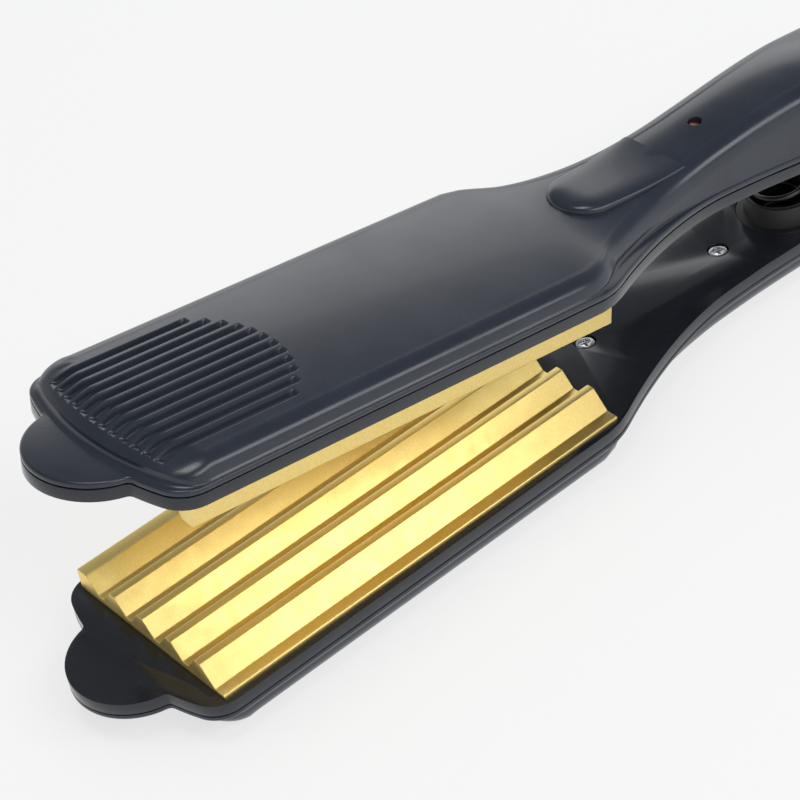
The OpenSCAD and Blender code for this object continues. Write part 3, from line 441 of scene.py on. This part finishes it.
def rim(bm):
    """Flat rim that carries the tab and overhangs the wall, its edges softened."""
    low, high = RIM_BREAK, RIM_ROUND
    profile = [(low * (1 - sin(a)), RIM_Z + low * (1 - cos(a))) for a in (0, radians(45), radians(90))]
    profile += [(high * (1 - cos(a)), RIM_TOP - high * (1 - sin(a)))
                for a in [radians(18) * i for i in range(6)]]
    rings = [loop_edges(bm, [(x, y, o) for x, y in rim_outline(d)]) for d, o in profile]
    holes = [loop_edges(bm, [(x, y, o) for x, y in foot_outline(WALL)]) for o in (RIM_Z, RIM_TOP)]
    for one, other in list(zip(rings, rings[1:])) + [holes]:
        bmesh.ops.bridge_loops(bm, edges=one + other)
    for ring, hole in ((rings[0], holes[0]), (rings[-1], holes[1])):
        bmesh.ops.triangle_fill(bm, edges=ring + hole, use_beauty=True, normal=(0, 0, 1))


def arm_place(turn):
    """From millimetres along an arm, measured from the hinge, to metres in the scene."""
    return Matrix.Translation((-MID_X * MM, 0, RISE * MM)) @ turn @ Matrix.Scale(MM, 4)


def lower_place():
    return arm_place(Matrix.Rotation(radians(180), 4, "X"))


def upper_place():
    return arm_place(Matrix.Rotation(-OPEN_ANGLE, 4, "Y"))


def piece(name, bm, place, body, material, node=None, sharp=32):
    """Finished object from a bmesh, riding on its arm, or on none where it bends between two."""
    if place is not None:
        bm.transform(place)
    mesh = bpy.data.meshes.new(name)
    bm.to_mesh(mesh)
    bm.free()
    mesh.shade_smooth()
    mesh.set_sharp_from_angle(angle=radians(sharp))
    mesh.materials.append(material)
    made = bpy.data.objects.new(name, mesh)
    bpy.context.scene.collection.objects.link(made)
    if body:
        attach(made, body)
    if node:
        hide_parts(node)
    return made


def lifted(place):
    """The inner face of an arm lies half a gap over the middle plane."""
    return place @ Matrix.Translation((0, 0, HALF_GAP))


def softened(node, body, material, width=0.15, segments=2, corner=38, sharp=32):
    """Copy of a CAD node with its hard edges taken off."""
    bm = bmesh.new()
    bm.from_mesh(frame["nodes"][node].data)
    bmesh.ops.remove_doubles(bm, verts=bm.verts, dist=1e-6)
    bmesh.ops.dissolve_limit(bm, angle_limit=radians(0.8), verts=bm.verts, edges=bm.edges)
    edges = [e for e in bm.edges if len(e.link_faces) == 2 and e.calc_face_angle(0) > radians(corner)]
    bmesh.ops.bevel(bm, geom=edges, offset=width * MM, segments=segments, profile=0.5,
                    affect="EDGES", material=-1, clamp_overlap=True)
    return piece(node + "_soft", bm, None, body, material, node, sharp)


# ---- finishes ----
class Finish:
    """A material with its nodes laid on object coordinates, in millimetres."""

    def __init__(self, name, colour, roughness, metallic=0.0, coat=0.0):
        self.material = bpy.data.materials.new(name)
        self.material.use_nodes = True
        self.tree = self.material.node_tree
        self.shader = self.tree.nodes["Principled BSDF"]
        self.shader.inputs["Base Color"].default_value = (*colour, 1)
        self.shader.inputs["Roughness"].default_value = roughness
        self.shader.inputs["Metallic"].default_value = metallic
        self.shader.inputs["Coat Weight"].default_value = coat
        self.shader.inputs["Coat Roughness"].default_value = 0.06
        self.shader.inputs["IOR"].default_value = 1.5
        self.place = self.tree.nodes.new("ShaderNodeTexCoord").outputs["Object"]
        self.height = None

    def node(self, kind, **inputs):
        made = self.tree.nodes.new(kind)
        for key, value in inputs.items():
            socket = made.inputs[key.replace("_", " ")]
            if hasattr(value, "is_output"):
                self.tree.links.new(value, socket)
            else:
                socket.default_value = value
        return made

    def noise(self, size, detail=2.0, stretch=None, roughness=0.5):
        """Noise with blotches of about size millimetres, drawn out along an axis by stretch."""
        place = self.place
        if stretch:
            place = self.node("ShaderNodeMapping", Vector=place, Scale=stretch).outputs["Vector"]
        return self.node("ShaderNodeTexNoise", Vector=place, Scale=1000.0 / size, Detail=detail,
                         Roughness=roughness).outputs["Fac"]

    def spread(self, value, low, high, a=0.3, b=0.7):
        made = self.node("ShaderNodeMapRange", Value=value)
        for key, v in (("From Min", a), ("From Max", b), ("To Min", low), ("To Max", high)):
            made.inputs[key].default_value = v
        return made.outputs["Result"]

    def tones(self, value, dark, light, a=0.35, b=0.65):
        """Colour that wanders between two tones."""
        ramp = self.node("ShaderNodeValToRGB", Fac=value)
        ramp.color_ramp.elements[0].position, ramp.color_ramp.elements[1].position = a, b
        ramp.color_ramp.elements[0].color, ramp.color_ramp.elements[1].color = (*dark, 1), (*light, 1)
        self.tree.links.new(ramp.outputs["Color"], self.shader.inputs["Base Color"])
        return self

    def gloss(self, value, low, high):
        self.tree.links.new(self.spread(value, low, high), self.shader.inputs["Roughness"])
        return self

    def relief(self, value, depth):
        """Bump of depth millimetres."""
        bump = self.node("ShaderNodeBump", Height=value, Distance=depth * MM, Strength=1.0)
        if self.height:
            self.tree.links.new(self.height, bump.inputs["Normal"])
        self.height = bump.outputs["Normal"]
        self.tree.links.new(self.height, self.shader.inputs["Normal"])
        return self


def moulded(name, dark, light, low, high, orange=0.004, coat=0.0):
    """Moulded plastic: a faint mottle, a polish that varies, orange peel and fine handling scratches."""
    f = Finish(name, light, low, coat=coat)
    f.tones(f.noise(9, 3), dark, light)
    f.gloss(f.noise(14, 4), low, high)
    f.relief(f.noise(1.1, 3), orange)
    f.relief(f.noise(0.35, 2, stretch=(0.12, 1, 1)), 0.0012)
    return f.material


def metal(name, dark, light, low, high, grain=0.4, depth=0.004, stretch=(1, 1, 1)):
    f = Finish(name, light, low, metallic=1.0)
    f.tones(f.noise(grain * 6, 4), dark, light)
    f.gloss(f.noise(grain * 8, 3), low, high)
    f.relief(f.noise(grain, 3, stretch=stretch), depth)
    return f.material


def gold_anodised():
    """Matt gold anodising on blasted aluminium: pale yellow, with a fine even grain and long draw lines."""
    f = Finish("gold_anodised", (0.93, 0.70, 0.26), 0.36, metallic=1.0)
    grain = f.noise(0.26, 3, roughness=0.6)
    f.tones(grain, (0.88, 0.65, 0.20), (0.95, 0.76, 0.31))
    f.gloss(f.noise(3, 4), 0.38, 0.46)
    f.relief(grain, 0.0022)
    f.relief(f.noise(0.5, 2, stretch=(0.02, 1, 1)), 0.0015)
    return f.material


def coiled_wire():
    return metal("spring_wire", (0.035, 0.035, 0.038), (0.075, 0.075, 0.08), 0.34, 0.5, 0.5, 0.004)


def braided(name, dark, light):
    f = Finish(name, light, 0.75)
    wave = f.node("ShaderNodeTexWave", Vector=f.place, Scale=900.0, Distortion=1.5, Detail=1.0)
    f.tones(wave.outputs["Fac"], dark, light, 0.3, 0.7)
    f.relief(wave.outputs["Fac"], 0.08)
    return f.material


def clear_red():
    f = Finish("indicator_red", (0.14, 0.016, 0.012), 0.2)
    f.tones(f.noise(0.8, 2), (0.07, 0.008, 0.006), (0.16, 0.02, 0.015))
    f.relief(f.noise(0.5, 2), 0.01)
    return f.material


def board_green():
    f = Finish("board_green", (0.03, 0.16, 0.07), 0.35)
    f.tones(f.noise(1.6, 2), (0.02, 0.11, 0.05), (0.04, 0.22, 0.10))
    f.relief(f.noise(0.3, 2, stretch=(1, 0.2, 1)), 0.01)
    return f.material


black_gloss = moulded("housing_gloss", (0.016, 0.021, 0.033), (0.020, 0.026, 0.040), 0.20, 0.28, 0.003, 0.12)
cover_gloss = moulded("cover_gloss", (0.013, 0.0155, 0.021), (0.017, 0.020, 0.027), 0.12, 0.20, 0.003, 0.1)
matt_black = moulded("seat_matt", (0.007, 0.007, 0.008), (0.012, 0.012, 0.014), 0.38, 0.5, 0.01)
switch_black = moulded("switch_black", (0.010, 0.010, 0.011), (0.018, 0.018, 0.020), 0.28, 0.40, 0.01)
rocker_black = moulded("rocker_black", (0.016, 0.016, 0.018), (0.026, 0.026, 0.028), 0.22, 0.32, 0.006)
soft_rubber = moulded("bush_rubber", (0.010, 0.010, 0.011), (0.020, 0.020, 0.021), 0.5, 0.65, 0.02)
nylon = moulded("washer_nylon", (0.55, 0.54, 0.50), (0.66, 0.65, 0.61), 0.35, 0.5, 0.008)
gold = gold_anodised()
bright_steel = metal("bright_steel", (0.55, 0.56, 0.57), (0.76, 0.77, 0.78), 0.20, 0.34, 0.3, 0.004)
spring_sheet = metal("spring_sheet", (0.50, 0.50, 0.50), (0.66, 0.66, 0.65), 0.26, 0.38, 0.3, 0.003,
                     (0.05, 1, 1))
heater_case = metal("heater_case", (0.50, 0.51, 0.53), (0.68, 0.69, 0.71), 0.35, 0.5, 0.6, 0.01)
contact_brass = metal("contact_brass", (0.60, 0.42, 0.16), (0.78, 0.58, 0.26), 0.24, 0.36, 0.3, 0.003)
fuse_ceramic = moulded("fuse_ceramic", (0.70, 0.66, 0.56), (0.82, 0.79, 0.70), 0.45, 0.6, 0.02)
mica = moulded("mica_sheet", (0.52, 0.42, 0.22), (0.70, 0.60, 0.38), 0.3, 0.5, 0.01)
lead_sleeve = braided("lead_sleeve", (0.62, 0.60, 0.54), (0.84, 0.82, 0.76))
wire = coiled_wire()
red = clear_red()
green = board_green()


def pressed_plate(arm):
    return softened(arm + "_plate", arm + "_arm", gold, 0.12, 2, 60, 40)


def dress_arms():
    for arm, up in (("lower", False), ("upper", True)):
        body = arm + "_arm"
        place = lifted(upper_place() if up else lower_place())
        piece(arm + "_housing", housing(up), place, body, black_gloss, arm + "_shell", 30)
        softened(arm + "_cover", body, cover_gloss, 0.28, 3)
        pressed_plate(arm)
        softened(arm + "_spring_seat", body, matt_black, 0.2, 2)
        softened(arm + "_screws", body, bright_steel, 0.12, 2)
        for node, material in (("heater", heater_case), ("insulator", mica), ("heater_clip", spring_sheet),
                               ("fuse", fuse_ceramic), ("leads", lead_sleeve)):
            give(arm + "_" + node, material)


def give(node, material):
    """A CAD node that keeps its own shape gets its finish."""
    data = frame["nodes"][node].data
    data.materials.clear()
    data.materials.append(material)


def coil():
    """Open coil of round wire, its planes fanning out about the hinge from one seat to the other."""
    bm = bmesh.new()
    low = 0.8 - HALF_GAP - SEAT_DEPTH + SPRING_WIRE / 2 + 0.05
    around, along = 12, SPRING_TURNS * 40

    def point(i, j):
        t = j / along
        turn = radians(360) * SPRING_TURNS * t
        s = min(max((t * SPRING_TURNS - 0.75) / (SPRING_TURNS - 1.5), 0), 1)
        tilt, mid = OPEN_ANGLE * s, low * (1 - 2 * s)
        a = radians(360) * i / around
        r = SPRING_D / 2 + SPRING_WIRE / 2 * cos(a)
        x, z = SPRING_X + r * cos(turn), mid + SPRING_WIRE / 2 * sin(a)
        return x * cos(tilt) - z * sin(tilt), r * sin(turn), x * sin(tilt) + z * cos(tilt)

    surface(bm, around, along, point)
    bmesh.ops.remove_doubles(bm, verts=bm.verts, dist=0.001)
    bmesh.ops.holes_fill(bm, edges=[e for e in bm.edges if e.is_boundary], sides=0)
    bmesh.ops.recalc_face_normals(bm, faces=bm.faces)
    place = Matrix.Translation((-MID_X * MM, 0, RISE * MM)) @ Matrix.Scale(MM, 4)
    return bm, place


def dress_fittings():
    bm, place = coil()
    spring = piece("coil_spring", bm, place, None, wire, "return_spring", 50)
    ends = [m @ Vector((SPRING_X, 0, 5.2)) for m in (lower_place(), upper_place())]
    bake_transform(spring, "lower_arm", "upper_arm", ends[0], ends[1])
    for node, slot, material, width in (
            ("hinge_pin", "pin_steel", bright_steel, 0.15),
            ("hinge_washers", "washer_plastic", nylon, 0.08),
            ("hinge_clip", "spring_steel", spring_sheet, 0.06),
            ("switch_body", "switch_plastic", switch_black, 0.25),
            ("switch_rocker", "rocker_plastic", rocker_black, 0.25),
            ("cord_bush", "bush_rubber", soft_rubber, 0.25),
            ("cord_clamp", "clamp_plastic", switch_black, 0.2),
            ("clamp_screws", "screw_steel", bright_steel, 0.12),
            ("indicator_lens", "lens", red, 0.1)):
        softened(node, body_of(frame["nodes"][node])[0], material, width, 3)
    for node, material in (("switch_contacts", contact_brass), ("indicator_lamp", red),
                           ("lamp_board", green)):
        give(node, material)


# ---- table, light and camera ----
def table_top():
    """Pale table that keeps the soft shadow and stays nearly white to the camera."""
    bm = bmesh.new()
    bmesh.ops.create_grid(bm, x_segments=1, y_segments=1, size=6)
    mesh = bpy.data.meshes.new("table")
    bm.to_mesh(mesh)
    bm.free()
    made = bpy.data.objects.new("table", mesh)
    bpy.context.scene.collection.objects.link(made)
    material = bpy.data.materials.new("table_white")
    material.use_nodes = True
    tree = material.node_tree
    shader = tree.nodes["Principled BSDF"]
    shader.inputs["Base Color"].default_value = (0.94, 0.94, 0.94, 1)
    shader.inputs["Roughness"].default_value = 0.55
    shader.inputs["Specular IOR Level"].default_value = 0.2
    glow = tree.nodes.new("ShaderNodeEmission")
    glow.inputs["Color"].default_value = (1, 1, 1, 1)
    path = tree.nodes.new("ShaderNodeLightPath")
    seen = path.outputs["Is Camera Ray"]
    for ray in ("Is Glossy Ray", "Is Transmission Ray"):
        either = tree.nodes.new("ShaderNodeMath")
        either.operation = "MAXIMUM"
        tree.links.new(seen, either.inputs[0])
        tree.links.new(path.outputs[ray], either.inputs[1])
        seen = either.outputs[0]
    part = tree.nodes.new("ShaderNodeMath")
    part.operation = "MULTIPLY"
    part.inputs[1].default_value = 0.7
    tree.links.new(seen, part.inputs[0])
    mix = tree.nodes.new("ShaderNodeMixShader")
    tree.links.new(part.outputs[0], mix.inputs[0])
    tree.links.new(shader.outputs[0], mix.inputs[1])
    tree.links.new(glow.outputs[0], mix.inputs[2])
    tree.links.new(mix.outputs[0], tree.nodes["Material Output"].inputs["Surface"])
    mesh.materials.append(material)


def soft_box(name, where, size, power, aim=(0, 0, 0.02)):
    lamp = bpy.data.lights.new(name, "AREA")
    lamp.shape, lamp.size, lamp.size_y, lamp.energy = "RECTANGLE", size[0], size[1], power
    made = bpy.data.objects.new(name, lamp)
    made.location = where
    made.rotation_euler = (Vector(aim) - Vector(where)).to_track_quat("-Z", "Y").to_euler()
    bpy.context.scene.collection.objects.link(made)


def studio():
    """Room that is pale at the horizon and darker overhead, with soft boxes right, behind and over."""
    world = bpy.data.worlds.new("studio")
    world.use_nodes = True
    tree = world.node_tree
    height = tree.nodes.new("ShaderNodeSeparateXYZ")
    tree.links.new(tree.nodes.new("ShaderNodeTexCoord").outputs["Generated"], height.inputs[0])
    ramp = tree.nodes.new("ShaderNodeValToRGB")
    tree.links.new(height.outputs["Z"], ramp.inputs["Fac"])
    stops = ramp.color_ramp.elements
    stops[0].position, stops[0].color = 0.18, (1, 1, 1, 1)
    stops[1].position, stops[1].color = 0.52, (0.23, 0.24, 0.26, 1)
    above = stops.new(0.85)
    above.color = (0.23, 0.24, 0.26, 1)
    tree.links.new(ramp.outputs["Color"], tree.nodes["Background"].inputs["Color"])
    tree.nodes["Background"].inputs["Strength"].default_value = 1.0
    bpy.context.scene.world = world
    soft_box("right", (-0.35, 0.76, 0.76), (1.2, 0.34), 5.0, (-0.35, 0, 0.02))
    soft_box("behind", (-0.75, -0.85, 0.42), (1.3, 0.34), 1.3)
    soft_box("over", (0.05, 0.0, 1.25), (0.5, 0.5), 4)
    bpy.context.scene.view_settings.view_transform = "Standard"


def camera():
    """Camera over the tip, looking back along the arms."""
    lens = bpy.data.cameras.new("camera")
    lens.lens, lens.sensor_width, lens.sensor_fit = 121.76, 36, "HORIZONTAL"
    lens.clip_start = 0.01
    made = bpy.data.objects.new("camera", lens)
    right = (-0.74715806, 0.64735852, -0.15060472)
    up = (-0.50501228, -0.40562403, 0.76186071)
    back = (0.43210813, 0.6452876, 0.62998927)
    where = (0.290281, 0.354752, 0.372983)
    made.matrix_world = Matrix([(right[i], up[i], back[i], where[i]) for i in range(3)] + [(0, 0, 0, 1)])
    bpy.context.scene.collection.objects.link(made)
    bpy.context.scene.camera = made


camera()
dress_arms()
dress_fittings()
table_top()
studio()
